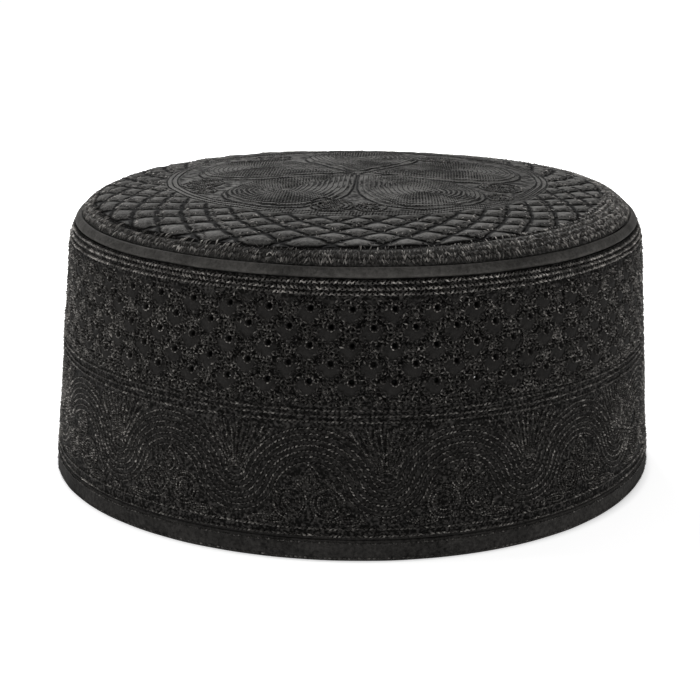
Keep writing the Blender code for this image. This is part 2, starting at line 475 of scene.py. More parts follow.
def side_seams_and_shade(cotton):
    """Darkening along each line of the waves and along the lattice's diagonals: black thread, with painted
    shade for the furrows it lies in.
    """
    offset = cotton.attribute("across_wave")
    # Wave lines: dark where thread lies in each furrow, part thread and part painted shade.
    furrow = (offset * (math.tau / WAVE_LINE_SPACING)).cosine()
    on_wave = cotton.fall(offset.absolute(), 5.0, 5.6)
    along = cotton.attribute("along")
    row = (along - (LOWEST_EYELET - CELL_DROP)) * (1 / EYELET_ROW_SPACING)
    diagonals, puffs = cotton.diagonals(EYELET_COLUMNS, FRONT + EYELET_TURN + CELL_TURN, row)
    in_lattice = cotton.rise(along, 42.0, 42.5) * cotton.fall(along, 70.5, 71.0)
    # Lattice diagonals: a thin dark line of thread with painted shade in the groove between the puffs.
    line = in_lattice * cotton.fall(diagonals, 0.12, 0.3, top=0.9)
    return on_wave * cotton.rise(furrow, 0.1, 0.8, top=0.9) + line, in_lattice * puffs


black_cotton(
    "side_cloth", dark=(0.012, 0.0114, 0.0109), light=(0.026, 0.0247, 0.0235), roughness=0.75, grain=0.6,
    darkening=side_seams_and_shade, cover=lambda cotton: cotton.attribute("covered")).wear(side_cloth)

# Hem. The rim is finished by a plain turned-up hem of the same cotton, a little thicker than the wall, on
# which the cap stands.
HEM_COLUMNS = 300
HEM_ROWS = 26
HEM_START = 0.18
HEM_TOP = 6.0
HEM_THICKNESS = 2.4
HEM_ROUNDING = 0.35
HEM_PROUD = 0.1


def closed_loop(share, start, end, thickness, rounding, proud):
    """Along and lift of a flat band's rounded section, once round it from its upper outer corner."""
    length = end - start
    turn = share * math.tau + math.pi / 4
    across = np.sign(np.cos(turn)) * np.abs(np.cos(turn)) ** rounding
    up = np.sign(np.sin(turn)) * np.abs(np.sin(turn)) ** rounding
    reach = np.maximum(np.maximum(np.abs(across), np.abs(up)), 1e-6)
    along = (start + end) / 2 + length / 2 * up / reach * np.minimum(reach, 1)
    lift = proud - thickness / 2 + thickness / 2 * across
    return along, lift


hem_cloth, column, row = flat_sheet("hem_cloth", HEM_COLUMNS, HEM_ROWS)
hem_polar = FRONT - TURN / 2 + column * TURN / HEM_COLUMNS
hem_along, hem_lift = closed_loop(
    row / HEM_ROWS, HEM_START, HEM_TOP, HEM_THICKNESS, HEM_ROUNDING, HEM_PROUD)
hem_lift = hem_lift + 0.1 * unevenness(hem_polar, hem_along, seed=4.0, scale=6)
wrap(hem_cloth, on_cap(hem_polar, hem_along, hem_lift))
sew_shut(hem_cloth)
black_cotton(
    "hem_cloth", dark=(0.006, 0.0057, 0.0055), light=(0.052, 0.0496, 0.047), roughness=0.8, grain=0.9,
    darkening=lambda cotton: (uneven_dye(cotton) * 0.5, 0.0)).wear(hem_cloth)
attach(hem_cloth, "root")
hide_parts("hem_band")

# Shoulder strip. A smooth folded strip of black cotton covers the join of the side and the crown, and
# stands a little proud of both.
STRIP_COLUMNS = 400
STRIP_ROWS = 24
STRIP_START = 76.25
STRIP_END = 79.3
STRIP_THICKNESS = 2.6
STRIP_ROUNDING = 0.6
STRIP_PROUD = 0.62

strip_cloth, column, row = flat_sheet("strip_cloth", STRIP_COLUMNS, STRIP_ROWS)
strip_polar = FRONT - TURN / 2 + column * TURN / STRIP_COLUMNS
strip_along, strip_lift = closed_loop(
    row / STRIP_ROWS, STRIP_START, STRIP_END, STRIP_THICKNESS, STRIP_ROUNDING, STRIP_PROUD)
strip_along = strip_along + 0.12 * unevenness(strip_polar, strip_along, seed=6.0, scale=3)
wrap(strip_cloth, on_cap(strip_polar, strip_along, strip_lift))
sew_shut(strip_cloth)
# The strip's black cotton is painted lighter than the side's: a painted sheen for the light on its raised
# band.
black_cotton(
    "strip_cloth", dark=(0.036, 0.0345, 0.0323), light=(0.098, 0.0934, 0.0877), roughness=0.66, grain=0.5,
    darkening=lambda cotton: (uneven_dye(cotton) * 0.75, 0.0)).wear(strip_cloth)
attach(strip_cloth, "root")
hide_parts("shoulder_strip")

# Crown cloth. The top is a disc of padded cotton: a ring of quilted puffs round a medallion of five broad
# petals, stiff and slightly domed.
CROWN_START = 79.55
CROWN_COLUMNS = 504
CROWN_OUTER_ROWS = 84
CROWN_INNER_ROWS = 14
CROWN_THICKNESS = 2.0
CROWN_MIDDLE_LIFT = 0.2
ABOVE_STRIP = 70.0
QUILT_COLUMNS = 36
QUILT_ROW = 4.3
QUILT_EDGE = 77.4
QUILT_INNER = 59.3
QUILT_PUFF = 0.62
QUILT_SINK = 0.34
BORDER_RADIUS = 77.0
BORDER_CENTRE = (-2.5, -2.0)
RING_CENTRE = (-0.2, 3.7)
RING_RADII = (55.0, 56.6, 58.2)
RING_SPACING = RING_RADII[1] - RING_RADII[0]
PETALS = 5
PETAL_TURN = -56.0
PETAL_LINE_SPACING = 1.45
PETAL_PUFF = 0.8
MEDALLION_SINK = 0.3
BORDER_GROOVE = 0.35


def radius_at(along):
    return np.interp(along, LENGTHS, OUTLINE[:, 0])


def along_at(radius):
    """The length up from the rim at a radius on the crown."""
    upper = LENGTHS > ABOVE_STRIP
    return np.interp(radius, OUTLINE[upper, 0][::-1], LENGTHS[upper][::-1])


def plan_of(polar, radius):
    """A place on the crown in the cap's own plan, in mm."""
    turn = np.radians(polar)
    return radius * np.cos(turn), radius * np.sin(turn)


def from_centre(x, y, centre):
    return np.hypot(x - centre[0], y - centre[1])


def petal_outline():
    """One petal in the crown's plan, along +X: pointed at the middle, broad and round at its outer end."""
    radii = np.array([0.8, 12.0, 24.0, 30.0, 36.0, 41.0, 45.0, 48.2, 50.2, 51.3, 51.7])
    half_angles = np.radians([35.6, 35.7, 35.3, 33.6, 30.6, 26.8, 22.8, 17.6, 12.0, 6.0, 0.0])
    upper = np.column_stack([radii * np.cos(half_angles), radii * np.sin(half_angles)])
    lower = upper[:-1][::-1] * (1, -1)
    return np.vstack([upper, lower])


PETAL = petal_outline()


def petal_depth(x, y, index):
    """How far a point of the plan is inside a petal's nearly convex outline, negative outside it."""
    turn = math.radians(PETAL_TURN + index * TURN / PETALS)
    local_x = x * math.cos(turn) + y * math.sin(turn)
    local_y = -x * math.sin(turn) + y * math.cos(turn)
    depth = np.full(np.shape(x), 99.0)
    corners = np.vstack([PETAL, PETAL[:1]])
    for (x0, y0), (x1, y1) in zip(corners[:-1], corners[1:]):
        length = math.hypot(x1 - x0, y1 - y0)
        depth = np.minimum(depth, ((x1 - x0) * (y0 - local_y) - (x0 - local_x) * (y1 - y0)) / length)
    return depth


def deepest_petal(x, y):
    """The depth inside whichever petal the point is in."""
    return np.max([petal_depth(x, y, index) for index in range(PETALS)], axis=0)


def crown_relief(polar, radius):
    """How far the crown swells between its stitches, in mm."""
    x, y = plan_of(polar, radius)
    from_border = BORDER_RADIUS - from_centre(x, y, BORDER_CENTRE)
    from_ring = from_centre(x, y, RING_CENTRE) - RING_RADII[2]
    cell = lattice_cell(polar / (TURN / QUILT_COLUMNS / 2), (QUILT_EDGE - radius) / QUILT_ROW)
    quilted = smooth(from_border, 0, 1.5) * smooth(from_ring, 0, 1.5)
    medallion = smooth(-from_ring, 3, 5)
    petal = medallion * smooth(deepest_petal(x, y), -0.3, 3.0)
    groove = BORDER_GROOVE * np.exp(-(from_border / 0.5) ** 2)
    wander = 0.25 * unevenness(polar, radius, seed=9.0, scale=3) * smooth(radius, 4, 20)
    puffs = quilted * (QUILT_PUFF * cell ** 0.6 - QUILT_SINK)
    return puffs + PETAL_PUFF * petal - MEDALLION_SINK * medallion - groove + wander


crown_rows = CROWN_OUTER_ROWS + CROWN_INNER_ROWS + 1
crown_cloth, column, row = flat_sheet("crown_cloth", CROWN_COLUMNS, crown_rows)
crown_polar = FRONT - TURN / 2 + column * TURN / CROWN_COLUMNS
outer_share = np.clip(row / CROWN_OUTER_ROWS, 0, 1)
inner_share = np.clip((row - CROWN_OUTER_ROWS - 1) / CROWN_INNER_ROWS, 0, 1)
on_outside = row <= CROWN_OUTER_ROWS
crown_share = np.where(on_outside, 1 - outer_share, inner_share)
crown_along = CROWN_START + (CROWN_MIDDLE - CROWN_START) * (0.85 * crown_share + 0.15 * crown_share ** 2)
crown_radius = radius_at(crown_along)
crown_lift = np.where(on_outside, crown_relief(crown_polar, crown_radius), -CROWN_THICKNESS)
at_middle = crown_share > 0.9999
crown_lift[at_middle & on_outside] = CROWN_MIDDLE_LIFT
wrap(crown_cloth, on_cap(crown_polar, crown_along, crown_lift))
keep_values(crown_cloth, "radius", crown_radius)
keep_values(crown_cloth, "petal_depth", deepest_petal(*plan_of(crown_polar, crown_radius)))
sew_shut(crown_cloth)


def crown_seams_and_shade(cotton):
    """Dark furrows along the quilting, the border, the three rings and the lines that fill the petals: dark
    thread, and along the quilting painted shade too.
    """
    place = cotton.place()
    x, y = cotton.plan()
    row = (QUILT_EDGE - cotton.attribute("radius")) * (1 / QUILT_ROW)
    ragged = (cotton.noise(place, 700, 2, 0.6) - 0.5) * 0.5
    diagonals, puffs = cotton.diagonals(QUILT_COLUMNS, 0.0, row)
    # Quilting seams: dark thread, with painted shade in the furrows between the puffs.
    seam = cotton.fall(diagonals + ragged, 0.22, 0.44)
    from_border = BORDER_RADIUS - cotton.distance(x, y, BORDER_CENTRE)
    from_ring = cotton.distance(x, y, RING_CENTRE) - RING_RADII[2]
    quilted = cotton.rise(from_border, 0.0, 0.6) * cotton.rise(from_ring, 0.0, 0.8)
    border = cotton.fall(from_border.absolute(), 0.3, 0.9)
    ring_line = ((from_ring - RING_SPACING) * (math.tau / RING_SPACING)).cosine()
    from_middle_ring = (from_ring + RING_SPACING).absolute()
    near_rings = cotton.fall(from_middle_ring, RING_SPACING + 0.4, RING_SPACING + 0.5)
    rings = near_rings * cotton.rise(ring_line, 0.3, 0.9, top=0.9)
    inside_rings = cotton.fall(from_ring, -4.0, -3.0)
    depth = cotton.attribute("petal_depth")
    wavering = depth + (cotton.noise(place, 260, 2, 0.6) - 0.5) * 1.8
    petal_line = (wavering * (math.tau / PETAL_LINE_SPACING)).cosine()
    in_petal = cotton.rise(depth, 0.0, 0.4) * inside_rings
    patches = cotton.rise(cotton.noise(place, 90, 2, 0.6), 0.42, 0.56)
    lines = in_petal * patches * cotton.rise(petal_line, -0.3, 0.6, top=0.97)
    edge = inside_rings * cotton.fall((depth - 0.3).absolute(), 0.2, 0.6, top=0.9)
    mottling = cotton.rise(cotton.noise(place, 420, 2, 0.6), 0.42, 0.6, top=0.9)
    ground = inside_rings * cotton.fall(depth, -0.4, 0.0) * mottling
    swelling = quilted * puffs * 9.0 + (0.5 - petal_line) * in_petal * patches
    return (seam * quilted + border + rings + lines + edge + ground).lesser(0.97), swelling


def crown_cover(cotton):
    """Fine stitches nearly hide the shoulder outside the border, and lie thinly on the rest."""
    radius = cotton.attribute("radius")
    return cotton.remap(radius, BORDER_RADIUS + 1.0, BORDER_RADIUS + 4.5, 0.35, 0.9)


# The crown's black cotton is painted far lighter than the side's: a painted sheen for the light that falls
# on the top.
black_cotton(
    "crown_cloth", dark=(0.05, 0.0487, 0.0467), light=(0.285, 0.2785, 0.2665), roughness=0.7, grain=0.6,
    darkening=crown_seams_and_shade, cover=crown_cover).wear(crown_cloth)
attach(crown_cloth, "root")
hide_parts("top_disc")

# Eyelet lattice. Black embroidery thread is scribbled by machine in small curls along the diagonals between
# the puffs of the side, and round each eyelet's edge.
STITCH = np.array([
    # share of the length, share of the width, share of the height
    (0.0, 0.0, -0.3), (0.45, -0.5, -0.1), (0.5, 0.0, 1.0), (0.45, 0.5, -0.1), (1.0, 0.0, -0.3)])
STITCH_FACES = np.array([(0, 1, 2), (0, 2, 3), (0, 3, 1), (4, 2, 1), (4, 3, 2), (4, 1, 3)])
WIDTH_RANGE = (0.75, 1.2)
HEIGHT_RANGE = (0.6, 1.5)
GLEAM_RUN = 3
GLEAM_ALONE = 0.6
GLEAM_TOGETHER = 0.4
# Black thread's own colour, and the painted glint colour that each stitch is lightened towards.
THREAD_DARK = (0.002, 0.0019, 0.0018)
PAINTED_GLINT_COLOUR = (0.5, 0.474, 0.443)
random = np.random.default_rng(7)


def stitched(name, starts, ends, lift, width, height, painted_glint, least=0.08, contrast=3.5):
    """One mesh of many short stitches, which start and end at rows of polar angle and length."""
    count = len(starts)
    middle = (starts + ends) / 2
    normal = outward(middle[:, 0], middle[:, 1])
    first = on_cap(starts[:, 0], starts[:, 1], lift(starts))
    last = on_cap(ends[:, 0], ends[:, 1], lift(ends))
    run = last - first
    sideways = np.cross(normal, run)
    sideways /= np.maximum(np.linalg.norm(sideways, axis=1), 1e-9)[:, None]
    widths = width * MM * random.uniform(*WIDTH_RANGE, count)
    heights = height * MM * random.uniform(*HEIGHT_RANGE, count)
    share, across, up = STITCH.T
    corners = first[:, None] + run[:, None] * share[:, None]
    corners = corners + (sideways * widths[:, None])[:, None] * across[:, None]
    corners = corners + (normal * heights[:, None])[:, None] * up[:, None]
    faces = STITCH_FACES[None] + len(STITCH) * np.arange(count)[:, None, None]
    mesh = bpy.data.meshes.new(name)
    mesh.vertices.add(count * len(STITCH))
    mesh.vertices.foreach_set("co", corners.ravel())
    mesh.loops.add(faces.size)
    mesh.loops.foreach_set("vertex_index", faces.ravel())
    mesh.polygons.add(count * len(STITCH_FACES))
    mesh.polygons.foreach_set("loop_start", np.arange(0, faces.size, 3))
    mesh.update(calc_edges=True)
    mesh.shade_smooth()
    piece = bpy.data.objects.new(name, mesh)
    bpy.context.scene.collection.objects.link(piece)
    # Painted glints: each stitch, alone and in short runs, gets a random lightening that stands in for the
    # light its thread catches.
    alone = random.uniform(0, 1, count)
    together = np.repeat(random.uniform(0, 1, count // GLEAM_RUN + 1), GLEAM_RUN)[:count]
    glint = least + (GLEAM_ALONE * alone + GLEAM_TOGETHER * together) ** contrast
    keep_values(piece, "painted_glint", np.repeat(painted_glint * glint, len(STITCH)))
    black_thread.wear(piece)
    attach(piece, "root")


def embroidery_thread():
    """Twisted rayon-like thread: glossier than the cloth, each stitch lightened by its own painted glint."""
    thread = Finish("black_thread")
    place = thread.place()
    twist = thread.noise(place, 1500, 2, 0.7)
    painted_glint = thread.attribute("painted_glint")
    shade = painted_glint * thread.remap(twist, 0.35, 0.65, 0.6, 1.2)
    thread.set(
        Base_Color=thread.between(shade, THREAD_DARK, PAINTED_GLINT_COLOUR),
        Roughness=thread.remap(twist, 0.3, 0.7, 0.34, 0.5),
        Specular_IOR_Level=0.1)
    return thread


black_thread = embroidery_thread()


def evenly(path, pitch):
    """Points at an even pitch on a path of points in mm, and the path's direction at each."""
    run = np.concatenate([[0], np.cumsum(np.hypot(*np.diff(path, axis=0).T))])
    count = max(2, round(run[-1] / pitch) + 1)
    places = np.linspace(0, run[-1], count)
    points = np.column_stack([np.interp(places, run, path[:, 0]), np.interp(places, run, path[:, 1])])
    direction = np.gradient(points, axis=0)
    direction /= np.maximum(np.hypot(*direction.T), 1e-9)[:, None]
    return points, direction


def zigzag(path, pitch, spread, jitter):
    """Stitches that go from side to side along a path."""
    points, direction = evenly(path, pitch)
    side = np.column_stack([-direction[:, 1], direction[:, 0]])
    swing = np.where(np.arange(len(points)) % 2, 1, -1) * spread * random.uniform(0.55, 1.1, len(points))
    points = points + side * swing[:, None] + random.normal(0, jitter, points.shape)
    return points[:-1], points[1:]


def rope(path, pitch, spread, slant):
    """Slanted stitches that lie over one another like the strands of a rope."""
    points, direction = evenly(path, pitch)
    side = np.column_stack([-direction[:, 1], direction[:, 0]]) * spread * slant
    starts = points - direction * pitch * 0.45 - side
    ends = points + direction * pitch * 0.6 + side
    return starts, ends + random.normal(0, 0.06, ends.shape)


def curls(places, reach, sides=5):
    """A small crooked ring of stitches at each place, as a machine scribbles to cover cloth."""
    steps = np.arange(sides + 1) * math.tau * 1.06 / sides
    turns = random.uniform(0, math.tau, len(places))[:, None] + steps
    reaches = reach * random.uniform(0.55, 1.15, (len(places), sides + 1))
    rings = places[:, None] + np.stack([np.cos(turns), np.sin(turns)], -1) * reaches[..., None]
    return rings[:, :-1].reshape(-1, 2), rings[:, 1:].reshape(-1, 2)


def running(path, pitch, filled=1.0):
    """Single stitches one behind the other along a path."""
    points, direction = evenly(path, pitch)
    starts = points[:-1]
    return starts, starts + (points[1:] - starts) * filled


def on_side(rows_of_ends, radius):
    """From mm round the side and mm up it, to polar angle and length along the cloth."""
    starts, ends = (np.concatenate(part) for part in zip(*rows_of_ends))
    return tuple(
        np.column_stack([FRONT + np.degrees(part[:, 0] / radius), part[:, 1]]) for part in (starts, ends))


def side_lift_at(extra):
    """The lift of stitches that follow the side's relief."""
    return lambda ends: side_relief(ends[:, 0], ends[:, 1]) + extra


CELL_WIDTH = math.radians(EYELET_PITCH) * GIRTH_RADIUS
DIAGONAL_LENGTH = 7.35
TRACK_APART = 0.8
CURL_PITCH = 1.7
CURL_REACH = 1.1
FOOT_ROWS = (43.0, 44.2)
FOOT_PITCH = 2.2
FOOT_REACH = 0.98
LATTICE_LOW = 41.9
LATTICE_HIGH = 71.4
EYELET_CLEARANCE = 0.25
EYELET_RIM = EYELET_RADIUS + 0.28
EYELET_RIM_POINTS = 9

lattice_curls = []
for level in range(EYELET_ROWS + 1):
    low = LOWEST_EYELET - CELL_DROP + (level - 1) * EYELET_ROW_SPACING
    for index in range(EYELET_COLUMNS):
        foot = math.radians(EYELET_TURN + CELL_TURN) * GIRTH_RADIUS
        foot += (index + 0.5 * ((level + 1) % 2) + 0.5) * CELL_WIDTH
        for way in (-0.5, 0.5):
            aside = np.array((EYELET_ROW_SPACING, -way * CELL_WIDTH))
            for track in (-1.0, 1.0):
                diagonal = np.array([(foot, low), (foot + way * CELL_WIDTH, low + EYELET_ROW_SPACING)])
                diagonal += aside * track * TRACK_APART / DIAGONAL_LENGTH
                places, _ = evenly(diagonal, CURL_PITCH)
                places = places + random.normal(0, 0.18, places.shape)
                lattice_curls.append(curls(places, CURL_REACH, sides=4))
for up in FOOT_ROWS:
    foot_row, _ = evenly(np.array([(0.0, up), (math.tau * GIRTH_RADIUS, up)]), FOOT_PITCH)
    lattice_curls.append(curls(foot_row + random.normal(0, 0.25, foot_row.shape), FOOT_REACH))
starts, ends = on_side(lattice_curls, GIRTH_RADIUS)
kept = np.minimum(starts[:, 1], ends[:, 1]) > LATTICE_LOW
kept &= np.maximum(starts[:, 1], ends[:, 1]) < LATTICE_HIGH
for level in range(EYELET_ROWS):
    up = LOWEST_EYELET + level * EYELET_ROW_SPACING
    turns = (starts[:, 0] - FRONT - EYELET_TURN - EYELET_PITCH / 2 * (level % 2)) / EYELET_PITCH
    across = (turns - np.rint(turns)) * CELL_WIDTH
    kept &= np.hypot(across, (starts[:, 1] + ends[:, 1]) / 2 - up) > EYELET_RADIUS + EYELET_CLEARANCE
stitched(
    "lattice_stitches", starts[kept], ends[kept], side_lift_at(0.1), width=0.42, height=0.45, painted_glint=0.85)

eyelet_rims = []
for level in range(EYELET_ROWS):
    up = LOWEST_EYELET + level * EYELET_ROW_SPACING
    for index in range(EYELET_COLUMNS):
        across = math.radians(EYELET_TURN) * GIRTH_RADIUS + (index + 0.5 * (level % 2)) * CELL_WIDTH
        angles = np.linspace(0, math.tau, EYELET_RIM_POINTS) + random.uniform(0, 1)
        reach = EYELET_RIM + random.uniform(-0.08, 0.12, EYELET_RIM_POINTS)
        rim = np.column_stack([across + reach * np.cos(angles), up + reach * np.sin(angles)])
        eyelet_rims.append((rim[:-1], rim[1:]))
starts, ends = on_side(eyelet_rims, GIRTH_RADIUS)
stitched("eyelet_stitches", starts, ends, side_lift_at(0.12), width=0.44, height=0.4, painted_glint=1.2)

# Border braids. Rows of rope-like stitch run all round the side: three close ones under the shoulder strip,
# three at mid height and two above the hem. Edge stitching runs along the foot and the top of the hem.
BRAID_ROWS = (72.1, 73.5, 75.0)
BORDER_ROWS = (41.3, 39.6, 37.9, 9.1, 6.9)
HEM_STITCH_ROWS = (1.0, 5.1)
LONG_PITCH = 1.6
SHORT_PITCH = 1.15


def hoop(up, radius, wave=0.0):
    """A line round the side at a height, with a slight wander."""
    around = np.linspace(0, math.tau * radius, 721)
    wander = wave * np.sin(around / 17.0 + up)
    return np.column_stack([around, up + wander])


braids = [
    rope(hoop(up, GIRTH_RADIUS, 0.15), SHORT_PITCH, 0.6, slant)
    for up, slant in zip(BRAID_ROWS, (1, -1, 1))]
braids += [
    rope(hoop(up - 0.1, GIRTH_RADIUS, 0.15), LONG_PITCH, 0.4, slant)
    for up, slant in zip(BRAID_ROWS, (-1, 1, -1))]
starts, ends = on_side(braids, GIRTH_RADIUS)
stitched("shoulder_braid", starts, ends, side_lift_at(0.15), width=0.5, height=0.5, painted_glint=1.9)
borders = [rope(hoop(up, WAVE_RADIUS, 0.2), SHORT_PITCH, 0.36, 1) for up in BORDER_ROWS]
borders += [rope(hoop(up + 0.1, WAVE_RADIUS, 0.2), LONG_PITCH, 0.28, -1) for up in BORDER_ROWS]
starts, ends = on_side(borders, WAVE_RADIUS)
stitched("border_stitches", starts, ends, side_lift_at(0.12), width=0.48, height=0.5, painted_glint=1.05)
hem_lines = [running(hoop(up, RIM_RADIUS, 0.06), 1.3, filled=0.8) for up in HEM_STITCH_ROWS]
hem_lines.append(zigzag(hoop(HEM_STITCH_ROWS[1], RIM_RADIUS, 0.1), 0.7, 0.3, 0.1))
starts, ends = on_side(hem_lines, RIM_RADIUS)
stitched(
    "hem_stitches", starts, ends, lambda at: np.full(len(at), 0.12), width=0.46, height=0.34, painted_glint=0.5)

# Waves. Seven parallel lines of rope-like stitch swing over and under all round the lower half. Two spirals,
# a bud and small leaves fill the room under each crest, and a fan spreads over each trough.
LOBE_ASIDE = 5.0
LOBE_HEIGHT = 15.9
LOBE_REACH = 4.4
LOBE_RING = 4.5
LOBE_TURNS = 3.4
LEAF_ROOT = (6.5, 10.9)
LEAF_TIP = (15.5, 11.4)
LEAF_HALF_WIDTH = 1.1
BUD_FOOT = 18.6
BUD_TIP = 26.6
BUD_HALF_WIDTH = 3.0
FILLING_PITCH = 0.75
FAN_LEANS = range(-63, 64, 7)
FAN_ROOT = 21.6
FAN_START = 2.6
FAN_SHORTEST = 3
FAN_LONGEST = 17.0
FAN_TOP = 36.9
FAN_CLEARANCE = 5.2
GROUND_CURLS = 1700
GROUND_LOW = 9.8
GROUND_HIGH = 37.0
GROUND_CLEARANCE = 5.5


def from_wave(places):
    """How far places, in mm round the side and up it, lie from the wave's middle line."""
    return np.abs(across_wave(FRONT + np.degrees(places[..., 0] / WAVE_RADIUS), places[..., 1]))


def arc(centre, radius, start, end):
    angles = np.radians(np.linspace(start, end, 40))
    return np.column_stack([centre[0] + radius * np.cos(angles), centre[1] + radius * np.sin(angles)])


def leaf(root, tip, half_width):
    """A closed leaf from root to tip."""
    share = np.linspace(0, 1, 24)
    root = np.array(root)
    run = np.array(tip) - root
    side = np.array((-run[1], run[0])) / np.hypot(*run)
    swell = half_width * np.sin(math.pi * share ** 0.8)
    upper = root + run * share[:, None] + side * swell[:, None]
    lower = root + run * share[:, None] - side * swell[:, None]
    return np.vstack([upper, lower[::-1]])


def curl(centre, radius, start, turns, direction):
    """A spiral that winds in towards its centre."""
    share = np.linspace(0, 1, 60)
    angles = math.radians(start) + direction * turns * math.tau * share
    reach = radius * (1 - 0.82 * share)
    return np.column_stack([centre[0] + reach * np.cos(angles), centre[1] + reach * np.sin(angles)])


tilt = math.degrees(WAVE_TILT)
wave_start = math.radians(WAVE_TURN) * WAVE_RADIUS
wave_lines = []
fillings = []
for index in range(WAVE_COUNT):
    middle = wave_start + index * WAVE_LENGTH
    crest = (middle, CREST_CENTRE)
    trough = (middle + WAVE_LENGTH / 2, TROUGH_CENTRE)
    for offset in WAVE_LINES:
        over = arc(crest, CREST_ARC + offset, 180 - tilt, tilt)
        under = arc(trough, TROUGH_ARC - offset, 180 + tilt, 360 - tilt)
        line = np.vstack([over, under[1:]])
        wave_lines.append(rope(line, 1.1, 0.3, 1))
        wave_lines.append(rope(line, 1.3, 0.18, -1))
    for side in (-1, 1):
        lobe = (middle + side * LOBE_ASIDE, LOBE_HEIGHT)
        spiral = curl(lobe, LOBE_REACH, 90 - side * 130, LOBE_TURNS, side)
        fillings.append(running(spiral, FILLING_PITCH))
        fillings.append(running(arc(lobe, LOBE_RING, 0, 360), FILLING_PITCH))
        for inset in (0.0, 0.8):
            root = (middle + side * (LEAF_ROOT[0] + inset), LEAF_ROOT[1])
            tip = (middle + side * (LEAF_TIP[0] - inset), LEAF_TIP[1])
            fillings.append(running(leaf(root, tip, LEAF_HALF_WIDTH - inset), FILLING_PITCH))
    for inset in (0.0, 1.1, 2.1):
        bud = leaf((middle, BUD_FOOT + inset), (middle, BUD_TIP - inset), BUD_HALF_WIDTH - 1.2 * inset)
        fillings.append(running(bud, FILLING_PITCH))
    for lean in FAN_LEANS:
        direction = np.array((math.sin(math.radians(lean)), math.cos(math.radians(lean))))
        root = np.array((trough[0], FAN_ROOT))
        reach = min((FAN_TOP - FAN_ROOT) / direction[1], FAN_LONGEST)
        while from_wave(root + direction * reach) < FAN_CLEARANCE and reach > FAN_SHORTEST:
            reach -= 0.5
        ray = np.array([root + direction * FAN_START, root + direction * reach])
        fillings.append(zigzag(ray, 0.55, 0.32, 0.1))
starts, ends = on_side(wave_lines, WAVE_RADIUS)
stitched("wave_stitches", starts, ends, side_lift_at(0.1), width=0.42, height=0.42, painted_glint=1.15)

starts, ends = on_side(fillings, WAVE_RADIUS)
stitched("leaf_stitches", starts, ends, side_lift_at(0.12), width=0.42, height=0.42, painted_glint=1.15)
scattered = np.column_stack([
    random.uniform(0, math.tau * WAVE_RADIUS, GROUND_CURLS),
    random.uniform(GROUND_LOW, GROUND_HIGH, GROUND_CURLS)])
open_ground = from_wave(scattered) > GROUND_CLEARANCE
starts, ends = on_side([curls(scattered[open_ground], 0.95)], WAVE_RADIUS)
stitched("ground_stitches", starts, ends, side_lift_at(0.04), width=0.42, height=0.3, painted_glint=0.7)

# Crown stitching. Dense zigzags fill the shoulder up to a dark border line, and finer ones quilt the puffs.
# Three rings frame the medallion. Each petal is filled with lines that follow its edge, among a few curls.
BAND_ROWS = (80.9, 82.5, 84.1, 85.7, 87.3, 88.9)
BAND_RADIUS = 80.0
BORDER_PITCH = 0.9


def on_crown(rows_of_ends):
    """From the crown's plan in mm to polar angle and length along the cloth."""
    starts, ends = (np.concatenate(part) for part in zip(*rows_of_ends))
    return tuple(
        np.column_stack([np.degrees(np.arctan2(part[:, 1], part[:, 0])), along_at(np.hypot(*part.T))])
        for part in (starts, ends))


def near_turns(starts, ends):
    """Brings each end's angle next to its start's, past the half turn."""
    ends[:, 0] = starts[:, 0] + (ends[:, 0] - starts[:, 0] + 180) % TURN - 180
    return starts, ends


def circle(centre, radius):
    arcs = [arc(centre, radius, start, start + 39) for start in range(0, 360, 40)]
    return np.vstack(arcs + [(centre[0] + radius, centre[1])])


def crown_lift_at(extra):
    """The lift of stitches that follow the crown's relief."""
    return lambda at: crown_relief(at[:, 0], radius_at(at[:, 1])) + extra


band = [zigzag(hoop(up, BAND_RADIUS), 0.32, 1.1, 0.3) for up in BAND_ROWS]
starts, ends = on_side(band, BAND_RADIUS)
x, y = plan_of(starts[:, 0], radius_at(starts[:, 1]))
kept = from_centre(x, y, BORDER_CENTRE) > BORDER_RADIUS + 0.9
stitched(
    "shoulder_zigzags", starts[kept], ends[kept], crown_lift_at(0.1), width=0.42, height=0.34, painted_glint=1.3)

rings = [rope(circle(BORDER_CENTRE, BORDER_RADIUS), BORDER_PITCH, 0.2, 1)]
rings += [rope(circle(RING_CENTRE, radius), BORDER_PITCH, 0.15, 1) for radius in RING_RADII]
quilting = []
levels = round((QUILT_EDGE - QUILT_INNER) / QUILT_ROW) + 1
for level in range(levels):
    outer = QUILT_EDGE + QUILT_ROW / 2 - level * QUILT_ROW
    for index in range(QUILT_COLUMNS):
        foot = math.radians((index + 0.5 * (level % 2)) * TURN / QUILT_COLUMNS)
        for way in (-1, 1):
            share = np.linspace(0, 1, 12)
            angles = foot + way * share * math.radians(TURN / QUILT_COLUMNS / 2)
            radii = outer - QUILT_ROW * share
            seam = np.column_stack([radii * np.cos(angles), radii * np.sin(angles)])
            quilting.append(zigzag(seam, 0.6, 0.95, 0.22))
starts, ends = near_turns(*on_crown(quilting))
x, y = plan_of(starts[:, 0], radius_at(starts[:, 1]))
kept = from_centre(x, y, BORDER_CENTRE) < BORDER_RADIUS - 0.5
kept &= from_centre(x, y, RING_CENTRE) > RING_RADII[2] + 0.6
stitched(
    "quilting_stitches", starts[kept], ends[kept], crown_lift_at(0.0), width=0.34, height=0.2,
    painted_glint=1.8, least=0.005, contrast=4.5)
starts, ends = near_turns(*on_crown(rings))
stitched("ring_stitches", starts, ends, crown_lift_at(0.06), width=0.42, height=0.28, painted_glint=0.2)


